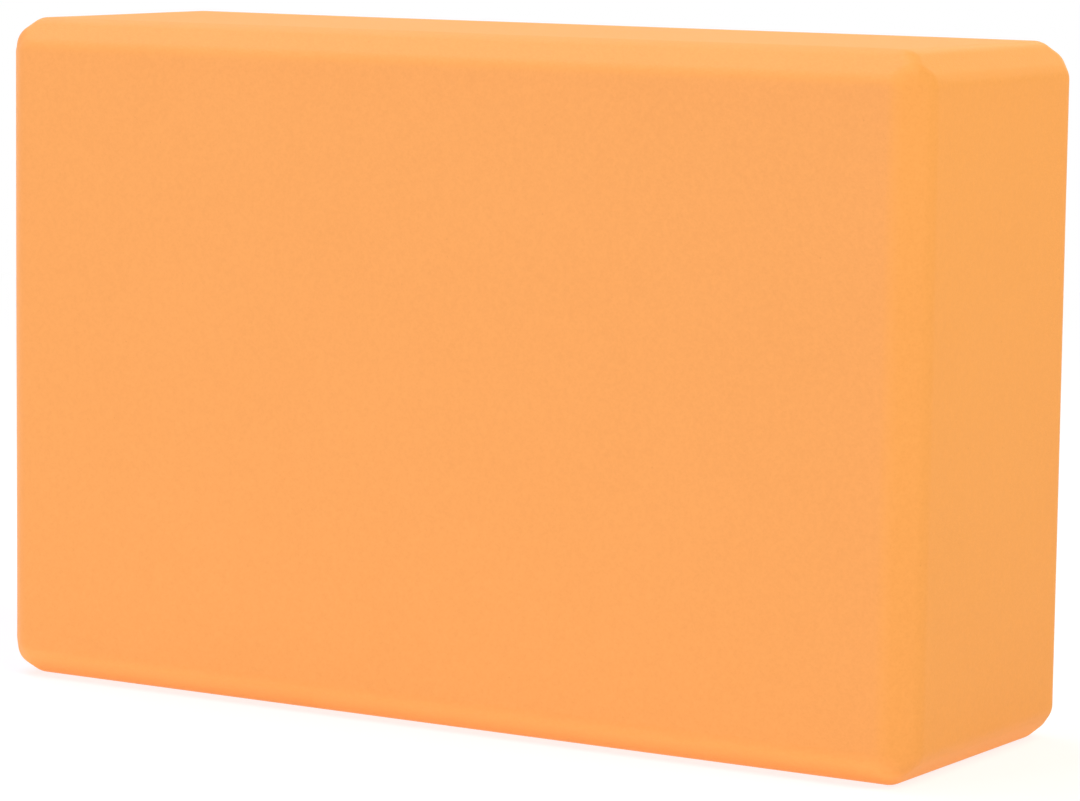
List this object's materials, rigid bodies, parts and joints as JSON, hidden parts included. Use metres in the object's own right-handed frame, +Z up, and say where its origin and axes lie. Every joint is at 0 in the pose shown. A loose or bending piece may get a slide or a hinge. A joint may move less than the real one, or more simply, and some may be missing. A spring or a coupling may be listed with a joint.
{
  "type": "yoga block",
  "caption": "Rectangular foam yoga block with bevelled, softly rounded edges, a light and firm support under a hand, foot or hip.",
  "frame": {"origin": "middle of the base, on the surface that the block stands on", "axes": "+X along the length to the right, +Y through the thickness towards the back, +Z up; the block stands on a long narrow side"},
  "size_m": [0.23, 0.074, 0.148],
  "materials": {
    "eva_foam": "matte orange closed-cell foam with a fine even grain"
  },
  "bodies": {
    "root": {"foam_block": "eva_foam"}
  },
  "joints": []
}
